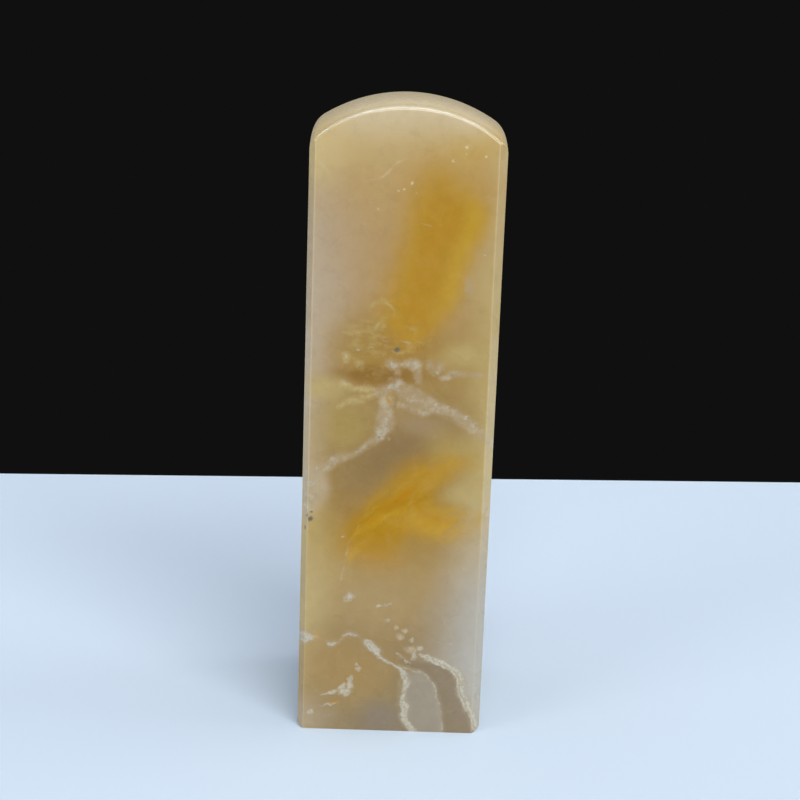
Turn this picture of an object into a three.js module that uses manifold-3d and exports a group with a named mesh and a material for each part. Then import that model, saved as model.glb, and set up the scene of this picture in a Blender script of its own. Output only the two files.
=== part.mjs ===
// A seal stone: one square pillar of polished, translucent stone with an arched, pillowed crown.
// Millimetres, +Z up. The origin is the middle of the seal face, on which the stone stands.
// The photographed face looks along -Y, and the crown's arch runs from side to side, along X.

import * as THREE from "three";
import { mergeVertices } from "three/addons/utils/BufferGeometryUtils.js";
import Module from "manifold-3d";

// Driving dimensions of the block.
const WIDTH = 25; // side to side, along X
const DEPTH = 25; // front to back, along Y
const HEIGHT = 85.4; // from the seal face to the top of the crown

// The crown is an arc across the width, eased into the two sides at the shoulders.
const CROWN_RISE = 4; // how far the arc climbs from the sides' planes to its top
const SHOULDER_RADIUS = 2.5;

// From front to back it is a pillow: its rims lie lower than its middle, and its four corners lower still.
const RIM_DROP = 2;
const CORNER_DROP = 0.6; // further share of the drop where a rim meets a side
const PILLOW_POWER = 2.5; // 2 would be an ellipse; more is flatter on top and rounder at the rims

// What the polisher took off the edges.
const UPRIGHT_CHAMFER = 0.9; // flat at 45 degrees on the four upright edges
const CHAMFER_EASE = 0.7; // radius that softens both rims of each upright flat
const RIM_RADIUS = 0.35; // front and back of the seal face
const FOOT_RADIUS = 1; // left and right of the seal face

// How finely the rounds are divided.
const ARC_DIVISIONS = 10; // each outline arc has twice as many facets
const EASE_DIVISIONS = 2;
const DEPTH_DIVISIONS = 20;

const QUARTER_TURN = Math.PI / 2;

// The stone seen from the front, in X and Z, anticlockwise from the left end of the seal face.
function frontOutline() {
  const side = WIDTH / 2;
  const crownRadius = (side ** 2 + CROWN_RISE ** 2) / (2 * CROWN_RISE);
  const crownCentre = HEIGHT - crownRadius;
  // The shoulder's round touches the side and, from inside, the crown's arc.
  const shoulderX = side - SHOULDER_RADIUS;
  const shoulderAbove = Math.sqrt((crownRadius - SHOULDER_RADIUS) ** 2 - shoulderX ** 2);
  const shoulderZ = crownCentre + shoulderAbove;
  const meet = Math.atan2(shoulderAbove, shoulderX);

  const outline = new THREE.Shape();
  outline.moveTo(FOOT_RADIUS - side, 0);
  outline.absarc(side - FOOT_RADIUS, FOOT_RADIUS, FOOT_RADIUS, -QUARTER_TURN, 0);
  outline.absarc(shoulderX, shoulderZ, SHOULDER_RADIUS, 0, meet);
  outline.absarc(0, crownCentre, crownRadius, meet, Math.PI - meet);
  outline.absarc(-shoulderX, shoulderZ, SHOULDER_RADIUS, Math.PI - meet, Math.PI);
  outline.absarc(FOOT_RADIUS - side, FOOT_RADIUS, FOOT_RADIUS, Math.PI, Math.PI + QUARTER_TURN);
  return outline;
}

// The stone seen from above, in X and Y: a square whose corners are cut flat, with eased rims.
function planOutline() {
  const x = WIDTH / 2;
  const y = DEPTH / 2;
  const cut = UPRIGHT_CHAMFER;
  const corners = [
    [x - cut, -y], [x, cut - y], [x, y - cut], [x - cut, y],
    [cut - x, y], [-x, y - cut], [-x, cut - y], [cut - x, -y],
  ].map(([cx, cy]) => new THREE.Vector2(cx, cy));

  // Each corner turns by an eighth of a turn, so its round starts this far from it.
  const setback = CHAMFER_EASE * Math.tan(Math.PI / 8);
  const outline = new THREE.Shape();
  corners.forEach((corner, i) => {
    const before = corners.at(i - 1).clone().sub(corner).setLength(setback).add(corner);
    const after = corners[(i + 1) % corners.length].clone().sub(corner).setLength(setback).add(corner);
    if (i === 0) outline.moveTo(before.x, before.y);
    else outline.lineTo(before.x, before.y);
    outline.quadraticCurveTo(corner.x, corner.y, after.x, after.y);
  });
  outline.closePath();
  return outline;
}

// The front outline, as deep as the stone, with the crown pillowed from front to back.
function pillowedSlab() {
  const slab = new THREE.ExtrudeGeometry(frontOutline(), {
    depth: DEPTH,
    steps: DEPTH_DIVISIONS,
    curveSegments: ARC_DIVISIONS,
    bevelEnabled: false,
  });
  slab.translate(0, 0, -DEPTH / 2).rotateX(QUARTER_TURN);

  const side = WIDTH / 2;
  const face = DEPTH / 2;
  const points = slab.attributes.position;
  for (let i = 0; i < points.count; i++) {
    // The divisions crowd towards the front and back faces, where the pillow is roundest.
    const turn = (points.getY(i) / face) * QUARTER_TURN;
    const out = Math.abs(Math.sin(turn)) ** (2 / PILLOW_POWER);
    const up = Math.abs(Math.cos(turn)) ** (2 / PILLOW_POWER);
    points.setY(i, Math.sign(turn) * out * face);

    const z = points.getZ(i);
    if (z > HEIGHT / 2) {
      const corner = 1 + CORNER_DROP * (points.getX(i) / side) ** 4;
      points.setZ(i, z - RIM_DROP * corner * (1 - up));
    } else {
      // The foot's front and back rims are rounded within their radius of the faces.
      const past = Math.max(0, 1 - (face * (1 - out)) / RIM_RADIUS);
      points.setZ(i, Math.max(z, RIM_RADIUS * (1 - Math.sqrt(1 - past ** 2))));
    }
  }
  return slab;
}

// The plan outline, tall enough to pass the crown.
function chamferedPillar() {
  return new THREE.ExtrudeGeometry(planOutline(), {
    depth: 2 * HEIGHT,
    curveSegments: EASE_DIVISIONS,
    bevelEnabled: false,
  }).translate(0, 0, -HEIGHT / 2);
}

const wasm = await Module();
wasm.setup();

function solidOf(geometry) {
  geometry.deleteAttribute("normal");
  geometry.deleteAttribute("uv");
  const merged = mergeVertices(geometry);
  return new wasm.Manifold(new wasm.Mesh({
    numProp: 3,
    vertProperties: merged.attributes.position.array,
    triVerts: merged.index.array,
  }));
}

function geometryOf(solid) {
  const { vertProperties, triVerts } = solid.getMesh();
  const geometry = new THREE.BufferGeometry();
  geometry.setAttribute("position", new THREE.BufferAttribute(vertProperties, 3));
  geometry.setIndex(new THREE.BufferAttribute(triVerts, 1));
  geometry.computeVertexNormals();
  return geometry;
}

// Honey-cream stone with a wet polish.
const stoneFinish = new THREE.MeshStandardMaterial({
  color: 0xc6a878,
  roughness: 0.16,
  metalness: 0,
});

// The block is what the pillowed slab and the chamfered pillar share.
const sealStone = new THREE.Mesh(
  geometryOf(solidOf(pillowedSlab()).intersect(solidOf(chamferedPillar()))),
  stoneFinish,
);
sealStone.name = "seal_stone";

const sealStamp = new THREE.Group();
sealStamp.add(sealStone);

export default sealStamp;
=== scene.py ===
"""A seal stone: one pillar of polished, translucent stone with an arched, pillowed crown."""

import math

import bmesh
import bpy
from mathutils import Matrix, Vector, noise


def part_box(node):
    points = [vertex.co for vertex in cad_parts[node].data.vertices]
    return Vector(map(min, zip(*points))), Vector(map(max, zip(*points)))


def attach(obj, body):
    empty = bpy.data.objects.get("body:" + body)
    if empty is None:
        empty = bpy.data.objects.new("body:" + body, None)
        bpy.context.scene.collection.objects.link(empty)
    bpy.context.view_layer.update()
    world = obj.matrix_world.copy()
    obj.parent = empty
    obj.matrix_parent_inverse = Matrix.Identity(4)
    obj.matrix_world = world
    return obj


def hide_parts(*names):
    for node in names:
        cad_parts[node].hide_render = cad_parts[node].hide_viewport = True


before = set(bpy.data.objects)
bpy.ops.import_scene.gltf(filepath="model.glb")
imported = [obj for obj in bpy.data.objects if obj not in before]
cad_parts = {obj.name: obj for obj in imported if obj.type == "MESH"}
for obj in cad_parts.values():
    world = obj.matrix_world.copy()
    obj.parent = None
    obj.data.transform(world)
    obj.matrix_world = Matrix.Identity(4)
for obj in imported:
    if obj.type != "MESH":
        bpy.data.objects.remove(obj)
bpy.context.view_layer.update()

# The stone is modelled in millimetres and brought to metres at the end.
MM = 0.001
block_low, block_high = (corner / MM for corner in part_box("seal_stone"))
SIDE = block_high.x
FRONT, BACK = block_low.y, block_high.y
FOOT, CROWN = block_low.z, block_high.z
WIDTH_SPAN, DEPTH_SPAN, HEIGHT_SPAN = (-SIDE, SIDE), (FRONT, BACK), (FOOT, CROWN)
QUARTER_TURN = math.pi / 2

# The front outline: an arc over the top, eased into the sides, and small rounds at the foot.
CROWN_RISE = 4
SHOULDER_RADIUS = 2.5
FOOT_RADIUS = 1
CROWN_STEPS, SHOULDER_STEPS, FOOT_STEPS = 48, 12, 10

# The crown is a pillow: its front and back rims lie lower than its middle, and its corners lower still.
PILLOW_DROP = 2.1
PILLOW_POWER = 2.5
PILLOW_REACH = 12.6  # where the pillow would stand upright, just outside the faces
CORNER_DROP = 0.6
STRETCH_LOW, STRETCH_HIGH = 40, 76  # the faces' grid follows the rims down between these heights

# Flats at 45 degrees on the four upright edges, by side and depth, ground by hand and so not all alike.
UPRIGHT_CHAMFERS = {(-1, -1): 0.78, (1, -1): 1.08, (-1, 1): 0.9, (1, 1): 0.9}
WORN_EDGE = 0.22  # how far the polish reaches in from each sharp edge
SHARP = math.radians(20)
WORN_STEPS = 5

GRID = 0.9  # spacing of the cuts across the faces
RIM_CUTS = (0.42, 0.55, 0.7, 0.9, 1.15, 1.5, 2, 2.6, 3.4, 4.2)  # and near the front and back
SWAY_DEPTH, SWAY_LENGTH = 0.035, 14  # how far the hand-ground faces sway inwards, and how slowly


# The block

def vertices_of(geometry):
    return [item for item in geometry if isinstance(item, bmesh.types.BMVert)]


def swing(bm, tip, x, z, angle, steps):
    """Carries the outline on from its tip, clockwise round the point (x, z)."""
    turned = bmesh.ops.spin(
        bm, geom=[tip], cent=(x, FRONT, z), axis=(0, 1, 0), angle=angle, steps=steps
    )
    return vertices_of(turned["geom_last"])[0]


def run(bm, tip, x, z):
    """Carries the outline on from its tip in a straight line."""
    end = bmesh.ops.extrude_vert_indiv(bm, verts=[tip])["verts"][0]
    end.co = (x, FRONT, z)
    return end


def draw_front(bm):
    """Draws the front outline: up the left side, over the crown and down the right side."""
    crown_radius = (SIDE**2 + CROWN_RISE**2) / (2 * CROWN_RISE)
    crown_centre = CROWN - crown_radius
    shoulder_x = SIDE - SHOULDER_RADIUS
    shoulder_above = math.sqrt((crown_radius - SHOULDER_RADIUS) ** 2 - shoulder_x**2)
    shoulder_z = crown_centre + shoulder_above
    shoulder_turn = math.atan2(shoulder_above, shoulder_x)
    foot_x = SIDE - FOOT_RADIUS
    foot_z = FOOT + FOOT_RADIUS

    first = bm.verts.new((-foot_x, FRONT, FOOT))
    tip = swing(bm, first, -foot_x, foot_z, QUARTER_TURN, FOOT_STEPS)
    tip = run(bm, tip, -SIDE, shoulder_z)
    tip = swing(bm, tip, -shoulder_x, shoulder_z, shoulder_turn, SHOULDER_STEPS)
    tip = swing(bm, tip, 0, crown_centre, math.pi - 2 * shoulder_turn, CROWN_STEPS)
    tip = swing(bm, tip, shoulder_x, shoulder_z, shoulder_turn, SHOULDER_STEPS)
    tip = run(bm, tip, SIDE, foot_z)
    tip = swing(bm, tip, foot_x, foot_z, QUARTER_TURN, FOOT_STEPS)
    bmesh.ops.contextual_create(bm, geom=[first, tip])
    return bmesh.ops.contextual_create(bm, geom=bm.edges[:])["faces"][0]


def everything(bm):
    return bm.verts[:] + bm.edges[:] + bm.faces[:]


def cut_corner(bm, side, depth, chamfer):
    """Grinds one upright edge to a flat at 45 degrees."""
    normal = Vector((side, depth, 0)).normalized()
    point = Vector((side * SIDE, depth * (BACK - chamfer), 0))
    cut = bmesh.ops.bisect_plane(
        bm, geom=everything(bm), plane_co=point, plane_no=normal, clear_outer=True
    )
    rim = [item for item in cut["geom_cut"] if isinstance(item, bmesh.types.BMEdge)]
    bmesh.ops.contextual_create(bm, geom=rim)


def slice_at(bm, axis, places):
    for place in places:
        bmesh.ops.bisect_plane(
            bm, geom=everything(bm), plane_co=axis * place, plane_no=axis, dist=0.01
        )


def evenly(low, high):
    cuts = round((high - low) / GRID)
    return [low + (high - low) * cut / cuts for cut in range(1, cuts)]


def grid_cuts(bm):
    """Divides the faces, finely near the crown's rims, so that they can be shaped."""
    inner = RIM_CUTS[-1]
    slice_at(bm, Vector((1, 0, 0)), evenly(-SIDE, SIDE))
    slice_at(bm, Vector((0, 1, 0)), evenly(FRONT + inner, BACK - inner))
    slice_at(bm, Vector((0, 1, 0)), [FRONT + inset for inset in RIM_CUTS])
    slice_at(bm, Vector((0, 1, 0)), [BACK - inset for inset in RIM_CUTS])
    slice_at(bm, Vector((0, 0, 1)), evenly(FOOT, CROWN))


def pillow_crown(bm):
    """Lowers the crown towards its front and back rims."""
    for vertex in bm.verts:
        out = min(abs(vertex.co.y) / PILLOW_REACH, 1)
        level = (1 - out**PILLOW_POWER) ** (1 / PILLOW_POWER)
        corner = 1 + CORNER_DROP * (vertex.co.x / SIDE) ** 4
        share = (vertex.co.z - STRETCH_LOW) / (STRETCH_HIGH - STRETCH_LOW)
        share = min(max(share, 0), 1)
        vertex.co.z -= PILLOW_DROP * corner * (1 - level) * share


def hand_grind(bm):
    """Lets the faces sway inwards by a few hundredths. The seal face stays flat."""
    bm.normal_update()
    for vertex in bm.verts:
        depth = SWAY_DEPTH * (1 + noise.noise(vertex.co / SWAY_LENGTH)) / 2
        if vertex.co.z > FOOT + WORN_EDGE:
            vertex.co -= vertex.normal * depth


def stone_block():
    bm = bmesh.new()
    face = draw_front(bm)
    deepened = bmesh.ops.extrude_face_region(bm, geom=[face])
    bmesh.ops.translate(bm, verts=vertices_of(deepened["geom"]), vec=(0, BACK - FRONT, 0))
    for (side, depth), chamfer in UPRIGHT_CHAMFERS.items():
        cut_corner(bm, side, depth, chamfer)
    bmesh.ops.recalc_face_normals(bm, faces=bm.faces[:])

    sharp = [edge for edge in bm.edges if edge.calc_face_angle() > SHARP]
    bmesh.ops.bevel(
        bm, geom=sharp, offset=WORN_EDGE, offset_type="OFFSET", segments=WORN_STEPS,
        profile=0.5, affect="EDGES", material=-1, clamp_overlap=True, loop_slide=True,
    )
    grid_cuts(bm)
    pillow_crown(bm)
    hand_grind(bm)
    bmesh.ops.scale(bm, vec=(MM, MM, MM), verts=bm.verts[:])

    mesh = bpy.data.meshes.new("stone_block")
    bm.to_mesh(mesh)
    bm.free()
    mesh.shade_smooth()
    block = bpy.data.objects.new("stone_block", mesh)
    bpy.context.collection.objects.link(block)
    facing = block.modifiers.new("flat faces", "WEIGHTED_NORMAL")
    facing.mode = "FACE_AREA"
    facing.weight = 50
    return block


# Shader nodes

def srgb(red, green, blue):
    """A colour read off, 0 to 255, as the renderer wants it."""
    def linear(level):
        level /= 255
        return level / 12.92 if level <= 0.04045 else ((level + 0.055) / 1.055) ** 2.4
    return (linear(red), linear(green), linear(blue), 1)


def feed(tree, socket, value):
    if isinstance(value, bpy.types.NodeSocket):
        tree.links.new(value, socket)
    elif value is not None:
        socket.default_value = value


def node(tree, kind, inputs=(), **settings):
    made = tree.nodes.new(kind)
    for name, setting in settings.items():
        setattr(made, name, setting)
    for name, value in dict(inputs).items():
        feed(tree, made.inputs[name], value)
    return made


def calc(tree, operation, *values, clamp=False):
    made = node(tree, "ShaderNodeMath", enumerate(values), operation=operation, use_clamp=clamp)
    return made.outputs["Value"]


def times(tree, *values):
    product = values[0]
    for value in values[1:]:
        product = calc(tree, "MULTIPLY", product, value)
    return product


def highest(tree, values):
    top = values[0]
    for value in values[1:]:
        top = calc(tree, "MAXIMUM", top, value)
    return top


def vector(tree, operation, *values):
    made = node(tree, "ShaderNodeVectorMath", enumerate(values), operation=operation)
    return made.outputs["Value" if operation in ("LENGTH", "DOT_PRODUCT") else "Vector"]


def scaled(tree, point, factor):
    made = node(tree, "ShaderNodeVectorMath", {0: point, "Scale": factor}, operation="SCALE")
    return made.outputs["Vector"]


def parts_of(tree, point):
    return node(tree, "ShaderNodeSeparateXYZ", {0: point}).outputs


def ramp(tree, value, start, end, low=0.0, high=1.0):
    """Rises smoothly from low, where the value is start, to high, where it is end."""
    made = node(
        tree, "ShaderNodeMapRange",
        {"Value": value, "From Min": start, "From Max": end, "To Min": low, "To Max": high},
        interpolation_type="SMOOTHSTEP",
    )
    return made.outputs["Result"]


def speckle(tree, point, size, detail=2.0, roughness=0.5):
    """Noise whose blobs are about size millimetres across."""
    return node(
        tree, "ShaderNodeTexNoise",
        {"Vector": point, "Scale": 1 / size, "Detail": detail, "Roughness": roughness},
    )


def blend(tree, mask, under, over):
    made = node(tree, "ShaderNodeMix", {0: mask, 6: under, 7: over}, data_type="RGBA")
    return made.outputs[2]


def stirred(tree, point, size, reach, detail=2.0):
    """Moves the point by up to reach millimetres, in swirls of the given size."""
    swirl = speckle(tree, point, size, detail).outputs["Color"]
    centred = vector(tree, "SUBTRACT", swirl, (0.5, 0.5, 0.5))
    return vector(tree, "ADD", point, scaled(tree, centred, 2 * reach))


def add_socket(tree, name, kind, direction, value=None):
    made = tree.interface.new_socket(name=name, in_out=direction, socket_type=kind)
    if value is not None:
        made.default_value = value


def egg_group():
    """How far a point lies from the middle of a leaning egg: 0 there and 1 on its skin."""
    tree = bpy.data.node_groups.new("egg", "ShaderNodeTree")
    add_socket(tree, "Point", "NodeSocketVector", "INPUT")
    add_socket(tree, "Centre", "NodeSocketVector", "INPUT")
    add_socket(tree, "Half Size", "NodeSocketVector", "INPUT", (1, 1, 1))
    add_socket(tree, "Lean", "NodeSocketFloat", "INPUT", 0)
    add_socket(tree, "Reach", "NodeSocketFloat", "OUTPUT")
    given = tree.nodes.new("NodeGroupInput").outputs
    arm = vector(tree, "SUBTRACT", given["Point"], given["Centre"])
    upright = node(
        tree, "ShaderNodeVectorRotate",
        {"Vector": arm, "Angle": given["Lean"]}, rotation_type="Y_AXIS", invert=True,
    )
    reach = vector(tree, "DIVIDE", upright.outputs["Vector"], given["Half Size"])
    feed(tree, tree.nodes.new("NodeGroupOutput").inputs["Reach"], vector(tree, "LENGTH", reach))
    return tree


def egg(tree, group, point, centre, half_size, lean=0.0):
    made = node(tree, "ShaderNodeGroup", node_tree=group)
    feed(tree, made.inputs["Point"], point)
    made.inputs["Centre"].default_value = centre
    made.inputs["Half Size"].default_value = half_size
    made.inputs["Lean"].default_value = math.radians(lean)
    return made.outputs["Reach"]


def curve(tree, value, domain, span, points):
    """Reads a height off a smooth curve through the points, all in millimetres."""
    low, high = domain
    bottom, top = span
    along = node(tree, "ShaderNodeMapRange", {"Value": value, "From Min": low, "From Max": high})
    drawn = node(tree, "ShaderNodeFloatCurve", {"Value": along.outputs["Result"]})
    line = drawn.mapping.curves[0]
    placed = [((a - low) / (high - low), (b - bottom) / (top - bottom)) for a, b in points]
    line.points[0].location = placed[0]
    line.points[1].location = placed[-1]
    for place in placed[1:-1]:
        line.points.new(*place)
    drawn.mapping.update()
    back = node(
        tree, "ShaderNodeMapRange",
        {"Value": drawn.outputs["Value"], "To Min": bottom, "To Max": top},
    )
    return back.outputs["Result"]


# The stone's colours

CREAM = srgb(212, 198, 166)
PALE_EDGE = srgb(188, 166, 116)
PALE_PINK = srgb(180, 164, 142)
AMBER = srgb(179, 138, 44)
DEEP_AMBER = srgb(174, 124, 14)
FLAME = srgb(168, 124, 8)
ORANGE = srgb(176, 116, 0)
STAIN = srgb(186, 136, 20)
GOLD = srgb(190, 152, 36)
PALE_GOLD = srgb(182, 162, 106)
STRAW = srgb(174, 148, 84)
TOP_GOLD = srgb(204, 183, 130)
OCHRE = srgb(160, 128, 62)
BROWN_OCHRE = srgb(138, 102, 46)
RUST = srgb(158, 116, 48)
OLIVE = srgb(166, 142, 82)
SMOKE = srgb(134, 110, 72)
LILAC = srgb(167, 164, 155)
TAN = srgb(164, 139, 92)
PINKISH = srgb(164, 142, 110)
GREY = srgb(140, 129, 110)
BROWN = srgb(122, 102, 70)
DIM = srgb(124, 110, 92)
WHITE_VEIN = srgb(186, 182, 166)
VEIN_SHADE = srgb(156, 143, 117)
BRIGHT_SPECK = srgb(222, 209, 180)
MILK = srgb(172, 153, 122)
MILK_CLUMP = srgb(186, 174, 146)
STRAW_CLUMP = srgb(196, 176, 126)
DARK_GRAIN = srgb(88, 88, 82)

# The ground of the stone changes with height. Height, colour.
GROUND = (
    (3, srgb(130, 108, 64)),
    (12, srgb(134, 108, 58)),
    (21, srgb(157, 127, 68)),
    (27, srgb(156, 124, 56)),
    (31, srgb(154, 121, 64)),
    (38, srgb(150, 123, 78)),
    (44, srgb(152, 127, 82)),
    (52, srgb(164, 133, 73)),
    (62, srgb(176, 145, 98)),
    (72, srgb(178, 148, 100)),
    (79, srgb(190, 162, 106)),
    (83, srgb(206, 190, 155)),
)

# Soft clouds of colour inside the stone, from the bottom layer up.
# Name, colour, centre, half size, lean in degrees (top to the right), feather, strength.
CLOUDS = (
    ("left pale", PALE_PINK, (-13, -13, 61), (6, 14, 13), 0, 0.8, 0.8),
    ("top left gold", TOP_GOLD, (-12.5, -13, 79), (4.4, 9, 4), 0, 0.8, 0.7),
    ("top right gold", GOLD, (8.4, -13, 79.6), (3.4, 8, 1.8), -10, 0.9, 0.35),
    ("right pale", PALE_GOLD, (13.5, -13, 55), (4.5, 13, 15), 0, 0.7, 0.6),
    ("amber skirt", AMBER, (5.4, -13, 73), (5.4, 9, 5), 0, 0.8, 0.6),
    ("mottled gold", OCHRE, (-2.6, -13, 53), (6.4, 8, 4.6), 0, 0.7, 0.8),
    ("rusty mist", RUST, (0.6, -13, 54.6), (3, 8, 2.2), 0, 0.8, 0.5),
    ("ochre band", BROWN_OCHRE, (-3.4, -13, 49.6), (6, 8, 1.2), 0, 0.7, 0.85),
    ("left olive", OLIVE, (-8.5, -13, 43), (4.5, 9, 3.5), 0, 0.7, 0.8),
    ("left pale low", PALE_PINK, (-13, -13, 47), (3, 8, 11), 0, 0.8, 0.5),
    ("left arm gold", PALE_GOLD, (-10, -13, 48), (3, 8, 1.6), 0, 0.8, 0.8),
    ("smoke", SMOKE, (-1, -13, 39.6), (6.5, 9, 2.6), -34, 0.8, 0.7),
    ("smoke under vein", PINKISH, (3, -13, 43.4), (3.4, 8, 1.4), 18, 0.8, 0.5),
    ("straw under arm", STRAW, (7.4, -13, 40), (3.2, 8, 2), 20, 0.8, 0.6),
    ("left patch", PALE_PINK, (-11.4, -13, 34), (1.7, 5, 3.2), 8, 0.7, 0.85),
    ("right haze", PALE_GOLD, (12, -13, 35), (4.2, 9, 6.4), 0, 0.8, 0.7),
    # The right glow is painted light: the lower right edge is painted paler, standing in for light that
    # comes through the stone there.
    ("right glow", PALE_EDGE, (12.6, -13, 27), (3.8, 8, 6), 0, 0.8, 0.6),
    ("gold haze", PALE_GOLD, (8.4, -13, 52.6), (3, 8, 1.6), -8, 0.8, 0.75),
    ("flame glow", FLAME, (-0.8, -13, 30.8), (7.6, 9, 3.3), -37, 0.55, 0.95),
    ("flame arm", AMBER, (4.4, -13, 36.6), (4.8, 8, 1.5), -20, 0.8, 0.85),
    ("flame root", FLAME, (1.8, -13, 37.2), (3, 8, 1.6), -36, 0.8, 0.5),
    ("flame pool", AMBER, (5, -13, 29.8), (4.8, 7, 2.2), 0, 0.8, 1),
    ("flame gap", PALE_GOLD, (8.8, -13, 34), (2.8, 8, 1.3), 0, 0.8, 0.6),
    ("flame foot", FLAME, (-2.8, -13, 26.8), (3.6, 7, 3), 0, 0.8, 0.75),
    ("middle tan", TAN, (-2, -13, 19), (5, 9, 4), 0, 0.8, 0.4),
    ("left light", PALE_GOLD, (-13, -13, 22), (4.4, 10, 12), 0, 0.8, 0.65),
    ("lilac side", LILAC, (13.6, -13, 12), (6.6, 11, 15), 0, 0.8, 0.9),
    ("low ochre", OCHRE, (-6.6, -13, 8.6), (6, 9, 4.4), 0, 0.7, 0.6),
    ("low brown", BROWN_OCHRE, (-7, -13, 9.6), (4.4, 8, 3.2), 0, 0.8, 0.25),
    ("left foot pale", PALE_PINK, (-12, -13, 1.4), (4.2, 8, 2.4), 0, 0.8, 0.3),
    ("low smoke", BROWN, (-0.5, -13, 0.5), (3.6, 8, 2.6), 0, 0.7, 0.8),
    ("low haze", DIM, (-1, -13, 1.4), (3.4, 8, 2.4), 0, 0.8, 0.6),
    ("back amber", AMBER, (-4, 14, 60), (5, 9, 12), -14, 0.7, 0.8),
    ("back pale", PALE_PINK, (9, 15, 44), (7, 9, 14), 10, 0.8, 0.8),
    ("back smoke", SMOKE, (2, 14, 27), (8, 8, 4), 24, 0.8, 0.6),
    ("back gold", GOLD, (-9, 12, 18), (5, 9, 8), 30, 0.8, 0.6),
    ("left side amber", AMBER, (-14, 5, 34), (6, 6, 9), 0, 0.8, 0.7),
    ("left side pale", PALE_PINK, (-14, -3, 62), (5, 8, 9), 0, 0.8, 0.7),
    ("left side smoke", SMOKE, (-14, -4, 22), (5, 6, 6), 0, 0.8, 0.7),
    ("right side amber", AMBER, (14, 6, 66), (6, 5, 9), 0, 0.8, 0.7),
    ("right side ochre", OCHRE, (14, -5, 54), (5, 6, 5), 0, 0.8, 0.6),
    ("right side flame", FLAME, (14, 1, 31), (5, 5, 3), 0, 0.7, 0.9),
    ("right side smoke", SMOKE, (14, 8, 40), (5, 6, 4), 0, 0.8, 0.8),
    ("right side brown", BROWN, (14, 9, 8), (5, 7, 6), 0, 0.8, 0.7),
)

# The amber that stands in the upper half. Height, place across, half width.
AMBER_COLUMN = (
    (51.5, 0.6, -3), (54, 1, 0.8), (56, 1.2, 3), (58, 1.4, 4.2), (61, 2.3, 4.4), (64, 3, 4.4),
    (67, 3.8, 4.6), (69.4, 4.6, 4.8), (71.4, 4.9, 4.6), (73, 4.6, 3.6), (74.8, 4, 2.6),
    (76.4, 3.6, 1.6), (80, 3.4, -3),
)

# Flames: ribbons with a hot middle. Place across, height, half width of the middle.
FLAME_SPINE = (
    (-6.2, 24.6, -3), (-5.4, 26.4, -1.1), (-4.4, 28.6, -0.5), (-2.8, 30.6, -0.3), (-1, 32.2, 0),
    (1.1, 33.7, 0.5), (2.8, 35.3, -0.1), (4, 36.7, -0.6), (6.2, 38.2, -1.4), (8.5, 39.2, -3),
)
FLAME_LEAN = 52  # degrees from the upright
FLAME_TONGUE = (
    (0, 34.2, -1.4), (1.4, 33.8, -0.4), (2.2, 33, -0.2), (3.2, 31.9, -0.2), (4.8, 30.8, -0.2),
    (7, 30.2, -0.4), (9.6, 30.6, -1), (11.6, 31.2, -3),
)

# White veins: sheets that run back through the block. Each point is two places and a half width.
# For a level vein they are its place across and its height, for a rising one the other way round.
LEVEL_VEINS = {
    "crest": (
        (-8.3, 45.3, 0.05), (-7.8, 45.7, 0.3), (-6.3, 46.3, 0.36), (-4.6, 46.8, 0.36), (-3.3, 47.4, 0.5),
        (-1.9, 48.1, 0.6), (-0.9, 48.5, 0.9), (0.2, 47.8, 1.15), (1.5, 47.2, 1.15), (3, 46.5, 1.1),
        (4.8, 45.8, 0.8), (6.2, 45.3, 0.7), (7.8, 44.5, 0.85), (9.9, 43, 0.75), (11.2, 41.9, 0.5),
        (12.5, 40.9, 0.45),
    ),
    "under crest": (
        (-0.5, 46.1, 0.05), (0.2, 46, 0.45), (2, 45.6, 0.6), (3.5, 45.2, 0.45), (4.2, 45.2, 0.05),
    ),
    "tail": (
        (-10.6, 36, 0.2), (-9.6, 37, 0.5), (-8.8, 37.9, 0.75), (-7.8, 38.5, 0.65), (-6.5, 39, 0.4),
        (-5.2, 39.6, 0.36), (-3.9, 40.6, 0.4), (-2.8, 41.3, 0.5), (-2, 41.9, 0.6), (-1.2, 42.3, 0.2),
    ),
    "low left": (
        (-12.5, 13.3, 0.6), (-11.8, 13.4, 0.8), (-11, 13.2, 0.6), (-10.5, 13.2, 0.2), (-9.9, 13.3, 0),
        (-9.3, 12.9, -0.4), (-8.8, 12.5, 0.02), (-8.3, 12.4, 0.26), (-7.5, 12.6, 0.2), (-7, 12.8, -0.1),
        (-6.5, 13.6, 0.16), (-5.9, 13.9, 0.32), (-5.2, 13.8, 0.28), (-4.4, 13.6, 0), (-3.9, 13.5, -0.3),
    ),
    "curl": (
        (-4.4, 58.3, -0.1), (-3.7, 59.2, 0.08), (-2.9, 59.6, 0.15), (-2.1, 59.3, 0.1), (-1.5, 58.7, 0.1),
        (-1.1, 57.9, -0.1),
    ),
    "streak": (
        (-7.7, 55.2, -0.1), (-7.2, 55.2, 0.06), (-5.2, 55.4, 0.08), (-4.2, 55.5, 0.1), (-3.4, 56.1, 0.12),
        (-2.9, 56.7, -0.1),
    ),
    "foot thread top": (
        (1, 9.8, -0.1), (1.3, 9.7, 0), (2.7, 9.05, 0.02), (3.6, 8.75, 0.02), (4.5, 8.7, 0.02),
        (5.1, 8.3, 0),
    ),
}
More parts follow.
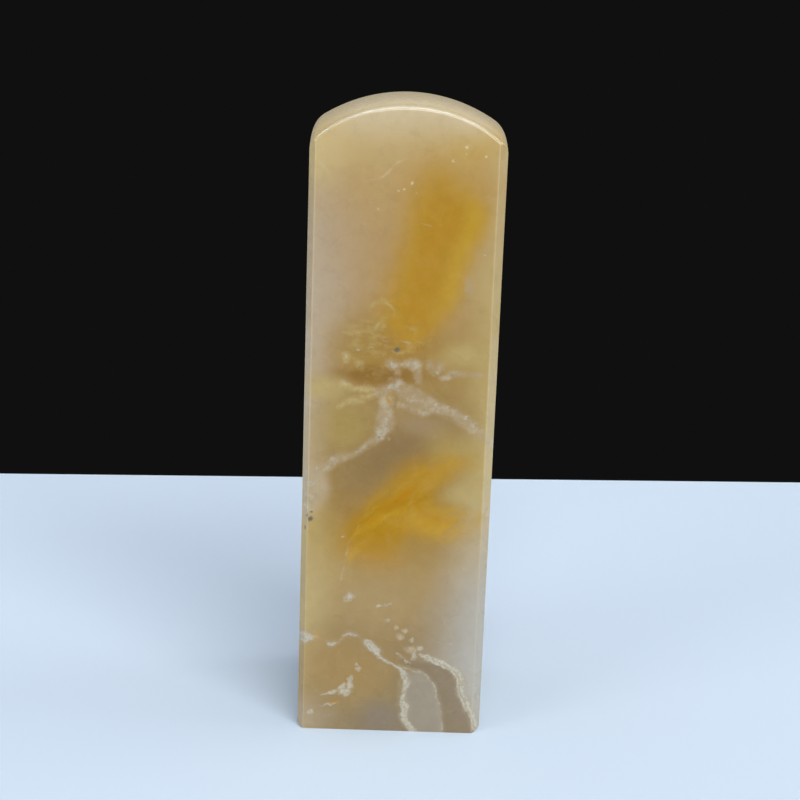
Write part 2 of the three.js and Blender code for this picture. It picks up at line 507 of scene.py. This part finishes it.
RISING_VEINS = {
    "fall": (
        (40.8, -2.8, 0.2), (41.5, -2.4, 0.7), (42.1, -2.1, 0.95), (43.4, -1.8, 1.1), (44.8, -1.8, 0.95),
        (46.1, -1.8, 0.8), (47.5, -1.7, 0.7), (48.3, -1.5, 0.2),
    ),
    "left patch": (
        (29.8, -12, -0.4), (30.6, -11.8, 0.2), (32, -11.6, 0.7), (33.6, -11.3, 0.8), (35.4, -10.9, 0.5),
        (37, -9.8, 0.2), (38.2, -8.8, 0.1),
    ),
    "left foot": (
        (0, 3.4, 0.6), (1.2, 2.7, 0.55), (2.4, 2.1, 0.5), (3.6, 2.2, 0.75), (4.9, 1.8, 0.4),
        (6.1, 1.9, 0.3), (7.3, 2.15, 0.6), (8.5, 1.8, 0.45), (9.3, 1.2, 0.5), (10, -0.2, 0.46),
        (10.9, -1.6, 0.4), (11.8, -2.2, 0.8), (12.5, -2.9, 0.85), (13, -3.2, 0.6), (13.3, -3.3, 0.05),
    ),
    "foot thread": (
        (0, 7.5, 0.06), (1.8, 7.2, 0.03), (3.3, 6.9, 0.05), (5, 6.6, 0.07), (6.5, 6.2, 0.08),
        (7.9, 5.4, 0.15), (8.5, 4.8, 0.15), (8.8, 4.3, 0),
    ),
    "right foot": (
        (0, 12.4, 0.5), (0.8, 12.1, 0.55), (2, 11.6, 0.55), (3.4, 10.9, 0.55), (4.9, 10.2, 0.5),
        (6.1, 9.75, 0.5), (7.3, 9.6, 0.52), (8.5, 9.2, 0.6), (9.5, 8.1, 0.95), (10.1, 6.7, 1.1),
        (10.7, 5.6, 0.9), (11.3, 4.5, 0.6), (11.6, 4, 0.05),
    ),
}

# Two more veins, which only come out at the sides. Height, place in depth, half width.
SIDE_VEINS = {
    "right side": (
        (0, -2.4, 0.5), (2.4, -1.4, 0.4), (5, 0.2, 0.6), (7.4, 0.8, 0.3), (10, 2.2, 0.5), (12, 3.9, 0.7),
        (14.4, 4.4, 0.3), (17, 6.4, 0.4), (19.6, 7.2, 0.2), (22.4, 9.8, 0.1),
    ),
    "left side": (
        (38, -9.6, 0.2), (41, -7.4, 0.6), (43.6, -6.6, 0.4), (46.4, -3.2, 0.7), (49, -2, 0.9),
        (52, 0.4, 0.4), (54.6, 1, 0.5), (58, 4.4, 0.2), (61, 5.2, 0.1),
    ),
}
SIDE_VEINS_START = {"right side": (5, 9), "left side": (-5, -9)}  # places across, from gone to full

GONE = -4  # half width beyond the ends of a vein
VEIN_END = 0.3  # how far beyond its last point a vein is gone
WANDER_LENGTH = 14  # how slowly the veins wander
WANDER_MIDDLE = 0.4  # below the noise's mean, so that they also lean left and down on their way back
MILKY_VEINS = ("crest", "under crest", "tail", "fall", "left patch", "left side")
GOLDEN_VEINS = ("curl", "streak")

# Threads and scratches that hardly show. Height, place across, half width.
FAINT_THREADS = (
    ((20.3, -9.6, -0.3), (20.5, -8.6, -0.05), (21.1, -7.3, 0), (23.3, -6.7, -0.02), (26.4, -6.1, 0),
     (28.6, -5.2, -0.05), (30.2, -3.8, -0.3)),
    ((74.5, -5.4, -0.3), (74.8, -4.8, 0), (75.5, -3.1, 0.12), (76.6, -1.9, 0.06), (77.4, -0.8, 0.12),
     (77.7, 0, -0.3)),
    ((69, 3.4, -0.3), (69.2, 3.2, -0.05), (69.6, 2.3, 0), (70.1, 1.3, -0.05), (70.3, 1, -0.3)),
    ((75.5, -10, -0.3), (75.9, -10.3, 0), (76.7, -10.8, 0.06), (77.6, -11.4, 0), (77.9, -11.6, -0.3)),
)

# Milky dabs above and below the crest vein. Place across, height, half width, half height, lean.
DABS = (
    (-7.1, 48.4, 0.8, 0.5, 20),
    (-4.6, 47.9, 1.6, 0.4, 0),
    (-7.1, 52.1, 0.5, 0.6, 0),
    (-5.4, 51.3, 0.5, 0.4, 0),
    (-1.2, 51.3, 0.8, 0.6, 30),
    (-0.5, 50.3, 0.4, 0.6, 0),
    (0.6, 51.4, 0.9, 0.4, 0),
    (1.8, 51.3, 0.8, 0.7, 0),
    (2.2, 50, 0.5, 1.1, -6),
    (3.8, 51.4, 0.5, 0.6, 0),
    (4.8, 50.9, 0.5, 0.9, 35),
    (7.4, 50.3, 1.5, 0.44, 0),
    (9.8, 50.3, 1, 0.3, 0),
    (5.8, 49.7, 0.8, 0.3, 0),
    (-11.6, 35.6, 0.8, 0.7, 0),
    (-11, 34, 0.7, 0.5, 30),
    (-11.9, 32.8, 0.5, 1, 0),
    (-10.6, 36.6, 0.6, 0.4, 30),
    (1.2, 13.8, 0.4, 0.36, 0),
    (0.6, 15, 0.3, 0.3, 0),
    (1.9, 14.6, 0.34, 0.3, 0),
    (-0.5, 16, 0.26, 0.2, 0),
    (2.6, 12, 0.7, 0.4, 0),
    (8.3, 61.8, 0.4, 1, 0),
)

# Pale flecks of the open white mineral, given in the same way.
FLECKS = (
    (-0.8, 48.6, 1.1, 0.6, -30),
    (-1.8, 43.7, 0.4, 0.7, 0),
    (-2.2, 42.4, 0.9, 0.8, 10),
    (-2.6, 41.4, 0.7, 0.3, 0),
    (-1.3, 41.3, 0.3, 0.26, 0),
    (-8.5, 38.4, 0.7, 0.36, -20),
    (-11.9, 36.2, 0.56, 0.5, 0),
    (-11.3, 34.9, 0.66, 0.56, 30),
    (-12, 33.7, 0.44, 0.8, 0),
    (-11.3, 33, 0.5, 0.56, 0),
    (-12, 31.9, 0.26, 0.5, 0),
    (-10.5, 36.8, 0.5, 0.3, 30),
    (4.9, 46.3, 0.36, 0.2, -30),
    (6.2, 45.9, 0.34, 0.2, -20),
    (8.8, 44.6, 0.4, 0.2, -30),
    (9.8, 43.7, 0.36, 0.2, -36),
    (10.7, 42.8, 0.36, 0.2, -44),
    (11.6, 41.5, 0.24, 0.34, 0),
    (3.4, 45, 0.4, 0.3, 0),
    (-7.1, 48.6, 0.34, 0.2, 20),
    (-7.1, 52.2, 0.2, 0.36, 0),
    (-1.2, 51.3, 0.36, 0.26, 30),
    (1.7, 51.4, 0.26, 0.46, 0),
    (2.2, 50.5, 0.2, 0.7, -6),
    (4.8, 50.6, 0.4, 0.5, 35),
    (-4.1, 53.3, 0.7, 0.14, 0),
    (-5.6, 53.2, 0.4, 0.12, 0),
    (-2.2, 54.5, 0.6, 0.16, 0),
    (0.6, 54.3, 0.6, 0.14, 0),
    (-5.9, 19.2, 1.1, 0.6, -20),
    (-0.7, 18.4, 0.6, 0.3, -12),
    (-1.7, 18.1, 0.5, 0.2, 0),
    (-7, 27.7, 0.26, 0.14, -20),
    (9.3, 23.6, 0.14, 0.1, 0),
    (1.2, 11.1, 0.8, 0.34, 30),
    (2.1, 10.4, 0.7, 0.3, 36),
    (3.1, 11.2, 0.5, 0.8, 10),
    (3.8, 12.2, 0.6, 0.44, 0),
    (2.7, 13.3, 0.44, 0.36, 0),
    (7.9, 13, 0.3, 0.2, 0),
    (-5.9, 5.5, 1.1, 0.7, -22),
    (-5.4, 6.9, 0.44, 1.3, 10),
    (-6.5, 6.2, 0.9, 0.4, -40),
    (-8, 5.3, 1.5, 0.26, -14),
    (-4.4, 8.9, 0.44, 0.5, 0),
    (-4.6, 9.6, 0.2, 0.4, 0),
    (-8.4, 3.6, 1.1, 0.14, -8),
    (-10.6, 2.4, 0.5, 0.4, 0),
    (7.2, 79.3, 0.28, 0.25, 0),
    (7.2, 78.7, 0.16, 0.15, 0),
    (5.5, 77.5, 0.3, 0.2, 0),
    (9.7, 78.3, 0.2, 0.18, 0),
    (0.6, 74.7, 0.2, 0.22, 0),
    (-0.4, 73.9, 0.3, 0.2, 0),
    (-1.2, 73.6, 0.24, 0.2, 0),
    (1.2, 73.4, 0.18, 0.16, 0),
    (-3.7, 71.3, 0.2, 0.18, 0),
    (10.1, 65.9, 0.36, 0.16, 0),
)

# Dark grains and orange stains, given in the same way.
GRAINS = (
    (-0.6, 53.2, 0.5, 0.36, 0),
    (-11.3, 30.1, 0.4, 0.3, 0),
    (-11.1, 31, 0.2, 0.16, 0),
    (-11.8, 30.6, 0.16, 0.2, 0),
    (-12, 28.7, 0.14, 0.3, 0),
    (-2.6, 41.5, 0.16, 0.12, 0),
)
STAINS = (
    (-1.5, 46.5, 0.34, 0.18, 30),
    (-1.2, 47.2, 0.16, 0.3, 0),
    (-10.3, 13.4, 0.36, 0.4, 0),
    (-7.6, 3.9, 0.6, 0.14, -10),
)
SPOT_DEPTH = 0.6  # half depth of all the dabs, flecks, grains and stains


def vein_depth(tree, along, across, domain, span, points, widest=2):
    """How far a place lies to the side of a vein's middle, and how deep inside its edges."""
    middle = curve(tree, along, domain, span, [(a, b) for a, b, _ in points])
    ends = (points[0][0] - VEIN_END, points[-1][0] + VEIN_END)
    widths = [(a, half) for a, _, half in points]
    widths += [(end, GONE) for end in ends if domain[0] < end < domain[1]]
    half = curve(tree, along, domain, (GONE, widest), sorted(widths))
    away = calc(tree, "SUBTRACT", across, middle)
    return away, calc(tree, "SUBTRACT", half, calc(tree, "ABSOLUTE", away))


def spots(tree, group, point, rows, faded, solid, strength):
    """Small eggs in the photographed face, from faded to solid in shares of their half size."""
    masks = []
    for across, up, half_width, half_height, lean in rows:
        half_size = (half_width, SPOT_DEPTH, half_height)
        reach = egg(tree, group, point, (across, FRONT, up), half_size, lean)
        masks.append(ramp(tree, reach, faded, solid, 0, strength))
    return highest(tree, masks)


def streaks(tree, point, lean, width, length):
    """Noise drawn out into streaks that lean from the upright."""
    turned = node(
        tree, "ShaderNodeVectorRotate",
        {"Vector": point, "Angle": math.radians(lean)}, rotation_type="Y_AXIS", invert=True,
    )
    drawn = vector(tree, "MULTIPLY", turned.outputs["Vector"], (1, 0.5, width / length))
    return speckle(tree, drawn, width, 4, 0.6).outputs["Fac"]


# The body of the stone

def ground(tree, point):
    """The ground's colour, banded by height, with a painted glow along the upright edges: paler there,
    standing in for light that comes through the stone.
    """
    parts = parts_of(tree, point)
    share = node(tree, "ShaderNodeMapRange", {"Value": parts["Z"], "From Max": CROWN})
    bands = node(tree, "ShaderNodeValToRGB", {"Fac": share.outputs["Result"]})
    bands.color_ramp.interpolation = "B_SPLINE"
    stops = bands.color_ramp.elements
    stops.remove(stops[1])
    stops[0].position, stops[0].color = GROUND[0][0] / CROWN, GROUND[0][1]
    for level, tint in GROUND[1:]:
        stops.new(level / CROWN).color = tint
    across = calc(tree, "ABSOLUTE", parts["X"])
    along = calc(tree, "ABSOLUTE", parts["Y"])
    # Painted light: the upright edges are painted paler, a glow standing in for light that comes through
    # the stone there.
    painted_edge_glow = ramp(tree, calc(tree, "ADD", across, along), 2 * SIDE - 4, 2 * SIDE + 0.5, 0, 0.7)
    painted_edge_glow = times(tree, painted_edge_glow, ramp(tree, parts["Z"], 22, 40, 0.4, 1))
    return blend(tree, painted_edge_glow, bands.outputs["Color"], PALE_EDGE)


def cloudy_body(tree, group, point):
    """The ground with all its clouds, which drift out of true."""
    drifting = stirred(tree, point, 9, 1.6, 3)
    colour = ground(tree, drifting)
    for name, tint, centre, half_size, lean, feather, strength in CLOUDS:
        reach = egg(tree, group, drifting, centre, half_size, lean)
        mask = ramp(tree, reach, 1 + feather, 1 - feather, 0, strength)
        colour = blend(tree, mask, colour, tint)
        colour.node.label = name
    return colour


def amber_column(tree, colour, here):
    """A column of amber with a sunny right edge."""
    away, inside = vein_depth(tree, here.z, here.x, HEIGHT_SPAN, WIDTH_SPAN, AMBER_COLUMN, widest=6)
    body = ramp(tree, inside, -2.4, 2.4, 0, 0.95)
    in_front = ramp(tree, here.depth, 9, 15, 1, 0)
    below_crown = ramp(tree, here.z, 80, 70, 0.3, 1)
    amber = times(tree, body, in_front, below_crown)
    colour = blend(tree, amber, colour, AMBER)
    core = ramp(tree, inside, 1.5, 3.6, 0, 0.35)
    colour = blend(tree, times(tree, amber, core), colour, DEEP_AMBER)
    right_edge = ramp(tree, away, 1.6, 4.4, 0, 0.9)
    sunny = times(tree, amber, right_edge, ramp(tree, here.z, 56, 61), ramp(tree, here.z, 76, 71))
    return blend(tree, sunny, colour, GOLD)


def amber_flames(tree, colour, here):
    """Flames of amber, broken into threads."""
    strands = streaks(tree, stirred(tree, here.crumbled, 5, 1.6), FLAME_LEAN, 1, 5)
    spine = vein_depth(tree, here.x, here.z, WIDTH_SPAN, HEIGHT_SPAN, FLAME_SPINE)[1]
    tongue = vein_depth(tree, here.x, here.z, WIDTH_SPAN, HEIGHT_SPAN, FLAME_TONGUE)[1]
    flame = highest(tree, [spine, tongue])
    lit = times(tree, ramp(tree, flame, -4, -1.4), ramp(tree, strands, 0.4, 0.66, 0, 0.5))
    colour = blend(tree, lit, colour, GOLD)
    hot = calc(tree, "MULTIPLY_ADD", strands, 1.6, flame)
    colour = blend(tree, ramp(tree, hot, -0.4, 1.1, 0, 0.7), colour, DEEP_AMBER)
    return blend(tree, ramp(tree, hot, 0.6, 1.5, 0, 0.7), colour, ORANGE)


def pale_wisps(tree, colour, here):
    """Pale wisps lie in level streaks in the ochre above the crest vein."""
    flattened = vector(tree, "MULTIPLY", here.crumbled, (0.8, 0.8, 1.4))
    streaked = speckle(tree, flattened, 1.7, 6, 0.66).outputs["Fac"]
    zone = egg(tree, here.group, here.point, (-2.6, -12.5, 53.8), (6.6, 8, 4.4))
    wisps = times(tree, ramp(tree, streaked, 0.46, 0.7, 0, 0.6), ramp(tree, zone, 1.3, 0.5))
    return blend(tree, wisps, colour, PALE_GOLD)


# The veins

def measured_veins(tree, here):
    """How far a place lies to the side of each vein's middle and how deep inside it, by name."""
    sides, insides = {}, {}
    for name, points in LEVEL_VEINS.items():
        sides[name], insides[name] = vein_depth(tree, here.x, here.z, WIDTH_SPAN, HEIGHT_SPAN, points)
    for name, points in RISING_VEINS.items():
        sides[name], insides[name] = vein_depth(tree, here.z, here.x, HEIGHT_SPAN, WIDTH_SPAN, points)
    back, up = (parts_of(tree, here.crumbled)[axis] for axis in "YZ")
    for name, points in SIDE_VEINS.items():
        sides[name], inside = vein_depth(tree, up, back, HEIGHT_SPAN, DEPTH_SPAN, points)
        near_side = ramp(tree, here.x, *SIDE_VEINS_START[name], GONE, 0)
        insides[name] = calc(tree, "ADD", inside, near_side)
    return sides, insides


def clear_foot(tree, colour, here, right_of):
    """Between the veins at the foot the stone is clearer: grey on the left, brown on the right."""
    grey = times(
        tree, ramp(tree, right_of["left foot"], -0.3, 0.4), ramp(tree, right_of["foot thread"], 0.2, -0.2),
        ramp(tree, here.z, 9.2, 8.2, 0, 0.85),
    )
    brown = times(
        tree, ramp(tree, right_of["foot thread"], -0.2, 0.2), ramp(tree, right_of["right foot"], 0.4, -0.3),
        ramp(tree, here.z, 11, 9.6, 0, 0.85),
    )
    colour = blend(tree, grey, colour, GREY)
    return blend(tree, brown, colour, BROWN)


def milky_mineral(tree, colour, here, inside):
    """Milky mineral lies under the polish, soft and much like the ground. Its left arms are straw."""
    veins = times(tree, ramp(tree, inside, -0.6, 0.7, 0, 0.95), here.curds)
    dabs = times(tree, spots(tree, here.group, here.shredded, DABS, 1.8, 0.2, 0.9), here.curds)
    milk = highest(tree, [veins, dabs])
    clumps = times(tree, milk, ramp(tree, here.grit, 0.46, 0.66, 0, 0.75))
    straw = times(tree, ramp(tree, here.x, -2.6, -4.2, 0, 0.8), ramp(tree, here.z, 43, 44.5))
    colour = blend(tree, milk, colour, blend(tree, straw, MILK, PALE_GOLD))
    return blend(tree, clumps, colour, blend(tree, straw, MILK_CLUMP, STRAW_CLUMP))


def golden_curls(tree, colour, here, inside):
    """Thin crumbled curls of gold, and the orange stains beside the veins."""
    curls = times(tree, ramp(tree, inside, -0.5, 0.3, 0, 0.9), here.crumbs)
    colour = blend(tree, curls, colour, PALE_GOLD)
    return blend(tree, spots(tree, here.group, here.shredded, STAINS, 2, 0.2, 0.7), colour, STAIN)


def open_mineral(tree, colour, here, inside, right_of):
    """Open white mineral: a faint halo, then a crumbly heart that its own grain breaks up."""
    halo = times(tree, ramp(tree, inside, -0.6, 0.2), ramp(tree, here.grit, 0.3, 0.62, 0.2, 0.6))
    colour = blend(tree, halo, colour, VEIN_SHADE)

    flecks = spots(tree, here.group, here.shredded, FLECKS, 2.2, 0, 1)
    white = highest(tree, [inside, calc(tree, "MULTIPLY_ADD", flecks, 0.9, -0.55)])
    broken = calc(tree, "ADD", here.grit, ramp(tree, white, -0.45, 0.45, -0.3, 0.2))
    heart = times(
        tree, ramp(tree, broken, 0.36, 0.68), ramp(tree, here.z, 15, 32, 0.92, 0.65),
        ramp(tree, here.x, 3, 8, 0.85, 1),
    )

    # A darker seam runs along the middle of the right foot vein, and the specks at the top are bright.
    fluff = speckle(tree, here.shredded, 0.5, 5, 0.7).outputs["Fac"]
    from_seam = calc(tree, "ABSOLUTE", calc(tree, "ADD", right_of["right foot"], 0.12))
    seam = ramp(tree, from_seam, 0.16, 0.04, 0, 0.6)
    seamed = calc(tree, "SUBTRACT", ramp(tree, fluff, 0.36, 0.6), seam, clamp=True)
    mineral = blend(tree, seamed, VEIN_SHADE, WHITE_VEIN)
    mineral = blend(tree, ramp(tree, here.z, 58, 66), mineral, BRIGHT_SPECK)
    return blend(tree, heart, colour, mineral), heart


def threads_and_grains(tree, colour, here):
    """Faint threads and old scratches, polished over, and dark grains."""
    insides = []
    for points in FAINT_THREADS:
        insides.append(vein_depth(tree, here.z, here.x, HEIGHT_SPAN, WIDTH_SPAN, points)[1])
    faint = times(tree, ramp(tree, highest(tree, insides), -0.34, 0.1, 0, 0.32), here.crumbs)
    colour = blend(tree, faint, colour, CREAM)
    return blend(tree, spots(tree, here.group, here.crumbled, GRAINS, 1.4, 0.5, 0.8), colour, DARK_GRAIN)


# The edges and the polish

def painted_edge_highlights_and_rim_shade(tree, colour, here):
    """Painted light at the edges: painted highlights on the upright chamfers and along their ridges, and
    painted shade on the rounds along the crown's rims.
    """
    plain = parts_of(tree, here.point)
    across, along = (calc(tree, "ABSOLUTE", plain[axis]) for axis in "XY")
    left, right = (UPRIGHT_CHAMFERS[side, -1] for side in (-1, 1))
    chamfer = ramp(tree, plain["X"], -SIDE, SIDE, left, right)
    outwards = calc(tree, "ADD", calc(tree, "ADD", across, along), chamfer)
    at_edge = ramp(tree, outwards, 2 * SIDE - 0.3, 2 * SIDE - 0.1)
    off_middle = calc(tree, "ABSOLUTE", calc(tree, "SUBTRACT", across, along))
    from_ridge = calc(tree, "ABSOLUTE", calc(tree, "SUBTRACT", off_middle, chamfer))
    upper = ramp(tree, plain["Z"], 20, 45, 0.3, 1)
    # Painted highlights: the chamfers are painted a little paler, and narrow paler lines run along their
    # ridges.
    colour = blend(tree, times(tree, at_edge, upper, 0.15), colour, CREAM)
    ridge = times(tree, ramp(tree, from_ridge, 0.16, 0.04, 0, 0.25), at_edge, upper, here.curds)
    colour = blend(tree, ridge, colour, CREAM)

    # Painted shade: the rounds along the crown's front and back rims are painted a little darker.
    rim = times(
        tree, ramp(tree, along, BACK - 1.5, BACK - 0.5), ramp(tree, along, BACK - 0.06, BACK - 0.2),
        ramp(tree, across, SIDE - 0.2, SIDE - 0.5), ramp(tree, plain["Z"], 77, 78.5, 0, 0.2),
    )
    return blend(tree, rim, colour, TAN)


def mottled(tree, colour, here):
    """A faint mottle all over."""
    mottle = speckle(tree, here.point, 1.6, 7, 0.7).outputs["Fac"]
    colour = blend(tree, ramp(tree, mottle, 0.46, 0.72, 0, 0.05), colour, CREAM)
    return blend(tree, ramp(tree, mottle, 0.52, 0.28, 0, 0.12), colour, BROWN)


def polish(tree, here, heart):
    """The polish is a little uneven, and duller where the mineral is open."""
    uneven = speckle(tree, here.point, 5, 4).outputs["Fac"]
    sheen = ramp(tree, uneven, 0.3, 0.7, 0.24, 0.32)
    return calc(tree, "MULTIPLY_ADD", heart, 0.2, sheen)


class Places:
    """Where a place lies in the stone, in millimetres, and the grain that all the mineral shares."""

    def __init__(self, tree):
        self.group = egg_group()
        self.point = scaled(tree, node(tree, "ShaderNodeTexCoord").outputs["Object"], 1 / MM)
        self.depth = calc(tree, "SUBTRACT", parts_of(tree, self.point)["Y"], FRONT)
        self.crumbled = stirred(tree, stirred(tree, self.point, 2.2, 0.35, 3), 0.8, 0.3, 5)
        self.shredded = stirred(tree, self.crumbled, 0.5, 0.3, 5)
        self.grit = speckle(tree, self.point, 1.2, 6, 0.7).outputs["Fac"]
        self.curds = ramp(tree, self.grit, 0.34, 0.58, 0.6, 1)
        self.crumbs = ramp(tree, self.grit, 0.42, 0.58, 0.15, 1)
        self.x, self.z = self.wandering(tree)

    def wandering(self, tree):
        """The veins crumble, and wander as they run back from the photographed face."""
        parts = parts_of(tree, self.crumbled)
        wander = parts_of(tree, speckle(tree, self.point, WANDER_LENGTH).outputs["Color"])
        for axis in "XZ":
            drift = times(tree, calc(tree, "SUBTRACT", wander[axis], WANDER_MIDDLE), self.depth)
            yield calc(tree, "ADD", parts[axis], drift)


def stone_material():
    material = bpy.data.materials.new("polished seal stone")
    material.use_nodes = True
    tree = material.node_tree
    shader = tree.nodes["Principled BSDF"]

    here = Places(tree)
    sides, insides = measured_veins(tree, here)
    milky = highest(tree, [insides.pop(name) for name in MILKY_VEINS])
    golden = highest(tree, [insides.pop(name) for name in GOLDEN_VEINS])
    white = highest(tree, list(insides.values()))

    colour = cloudy_body(tree, here.group, here.point)
    colour = amber_column(tree, colour, here)
    colour = amber_flames(tree, colour, here)
    colour = pale_wisps(tree, colour, here)
    colour = clear_foot(tree, colour, here, sides)
    colour = milky_mineral(tree, colour, here, milky)
    colour = golden_curls(tree, colour, here, golden)
    colour, heart = open_mineral(tree, colour, here, white, sides)
    colour = threads_and_grains(tree, colour, here)
    colour = painted_edge_highlights_and_rim_shade(tree, colour, here)
    colour = mottled(tree, colour, here)

    feed(tree, shader.inputs["Base Color"], colour)
    feed(tree, shader.inputs["Roughness"], polish(tree, here, heart))
    shader.inputs["IOR"].default_value = 1.56
    shader.inputs["Specular IOR Level"].default_value = 0.2
    shader.inputs["Coat Weight"].default_value = 1
    shader.inputs["Coat Roughness"].default_value = 0.03
    shader.subsurface_method = "RANDOM_WALK"
    shader.inputs["Subsurface Weight"].default_value = 0.4
    shader.inputs["Subsurface Radius"].default_value = (1.0, 0.7, 0.4)
    shader.inputs["Subsurface Scale"].default_value = 0.8 * MM
    return material


# The table and the light

TABLE_HALF_WIDTH = 300
TABLE_NEAR, TABLE_FAR = -110, 109.4
TABLE_FADE = (8, 40)  # how far behind its near side it comes out of the dark
TABLE_TURN = math.radians(4.5)
TABLE_COLOUR = srgb(213, 228, 243)
BACKDROP_COLOUR = srgb(15, 16, 15)
SKY = (0.86, 0.95, 1.14, 1)
AMBIENT = 0.24
STONE_MIDDLE = (0, 0, 0.045)
COOL, WARM = (0.3, 0.66, 1), (1, 0.86, 0.6)


def table_material():
    """Pale and matt. The polished front mirrors the near side, which comes out of the dark."""
    material = bpy.data.materials.new("pale table")
    material.use_nodes = True
    tree = material.node_tree
    shader = tree.nodes["Principled BSDF"]
    shader.inputs["Base Color"].default_value = TABLE_COLOUR
    shader.inputs["Roughness"].default_value = 0.8
    place = parts_of(tree, node(tree, "ShaderNodeTexCoord").outputs["Object"])
    dark, solid = ((TABLE_NEAR + behind) * MM for behind in TABLE_FADE)
    feed(tree, shader.inputs["Alpha"], ramp(tree, place["Y"], dark, solid))
    return material


def table():
    bm = bmesh.new()
    bmesh.ops.create_grid(bm, x_segments=1, y_segments=1, size=1)
    half_depth = (TABLE_FAR - TABLE_NEAR) / 2
    bmesh.ops.scale(bm, verts=bm.verts[:], vec=(TABLE_HALF_WIDTH, half_depth, 1))
    bmesh.ops.translate(bm, verts=bm.verts[:], vec=(0, (TABLE_FAR + TABLE_NEAR) / 2, 0))
    bmesh.ops.rotate(bm, verts=bm.verts[:], matrix=Matrix.Rotation(TABLE_TURN, 3, "Z"))
    bmesh.ops.scale(bm, verts=bm.verts[:], vec=(MM, MM, MM))
    mesh = bpy.data.meshes.new("table")
    bm.to_mesh(mesh)
    bm.free()
    top = bpy.data.objects.new("table", mesh)
    bpy.context.collection.objects.link(top)
    mesh.materials.append(table_material())


def backdrop():
    """Soft light from all round, with a plain dark backdrop behind the table."""
    world = bpy.data.worlds.new("studio")
    bpy.context.scene.world = world
    world.use_nodes = True
    tree = world.node_tree
    tree.nodes.clear()
    seen = node(tree, "ShaderNodeLightPath").outputs
    rays = [seen[f"Is {kind} Ray"] for kind in ("Camera", "Glossy", "Transmission")]
    light = node(tree, "ShaderNodeBackground", {"Color": SKY, "Strength": AMBIENT})
    dark = node(tree, "ShaderNodeBackground", {"Color": BACKDROP_COLOUR, "Strength": 1})
    mixed = node(
        tree, "ShaderNodeMixShader", {0: highest(tree, rays), 1: light.outputs[0], 2: dark.outputs[0]}
    )
    feed(tree, node(tree, "ShaderNodeOutputWorld").inputs["Surface"], mixed.outputs[0])


def softbox(name, place, aim, width, height, power):
    data = bpy.data.lights.new(name, "AREA")
    data.shape = "RECTANGLE"
    data.size, data.size_y = width, height
    data.energy = power
    lamp = bpy.data.objects.new(name, data)
    lamp.location = place
    lamp.rotation_mode = "QUATERNION"
    lamp.rotation_quaternion = (Vector(aim) - Vector(place)).to_track_quat("-Z", "Y")
    bpy.context.collection.objects.link(lamp)
    return lamp


def reflector(name, place, aim, width, height, power, tint):
    """A softbox that only shines in the polish."""
    lamp = softbox(name, place, aim, width, height, power)
    lamp.data.color = tint
    lamp.visible_camera = False
    lamp.visible_diffuse = False
    lamp.visible_transmission = False


def lights():
    """Places, aims, widths and heights in metres, and powers in watts."""
    softbox("key softbox", (1.35, -3.9, 2.8), STONE_MIDDLE, 4.6, 3.2, 252)
    softbox("left softbox", (-1.0, -0.8, 0.5), STONE_MIDDLE, 0.6, 0.6, 4)
    softbox("right softbox", (1.05, 0.1, 0.6), STONE_MIDDLE, 0.6, 0.6, 2.2)
    softbox("overhead softbox", (0, 0.05, 0.9), STONE_MIDDLE, 1.2, 0.8, 1.8)
    reflector("rim reflector", (0, 0, 0.6), (0, 0, 0.08), 2.4, 0.03, 5.2, COOL)
    reflector("crown reflector", (0, 1.2, 0.5), (0, 0, 0.5), 6, 1.5, 11.2, WARM)


# The camera, where the photograph was taken

CAMERA_LENS = 68
CAMERA_AIM = Vector((0, FRONT, 46.63)) * MM
CAMERA_DISTANCE = 196.2 * MM
CAMERA_TURN, CAMERA_TIP, CAMERA_ROLL = (math.radians(angle) for angle in (-0.56, 13.47, 2.08))


def camera():
    data = bpy.data.cameras.new("camera")
    data.lens = CAMERA_LENS
    data.sensor_width = 36
    data.clip_start = 10 * MM
    eye = bpy.data.objects.new("camera", data)
    look = (
        Matrix.Rotation(CAMERA_TURN, 4, "Z")
        @ Matrix.Rotation(QUARTER_TURN - CAMERA_TIP, 4, "X")
        @ Matrix.Rotation(CAMERA_ROLL, 4, "Z")
    )
    back = look @ Vector((0, 0, 1))
    eye.matrix_world = Matrix.Translation(CAMERA_AIM + back * CAMERA_DISTANCE) @ look
    bpy.context.collection.objects.link(eye)
    bpy.context.scene.camera = eye


camera()
backdrop()
table()
lights()
bpy.context.scene.view_settings.view_transform = "Standard"

stone = stone_block()
stone.data.materials.append(stone_material())
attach(stone, "root")
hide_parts("seal_stone")
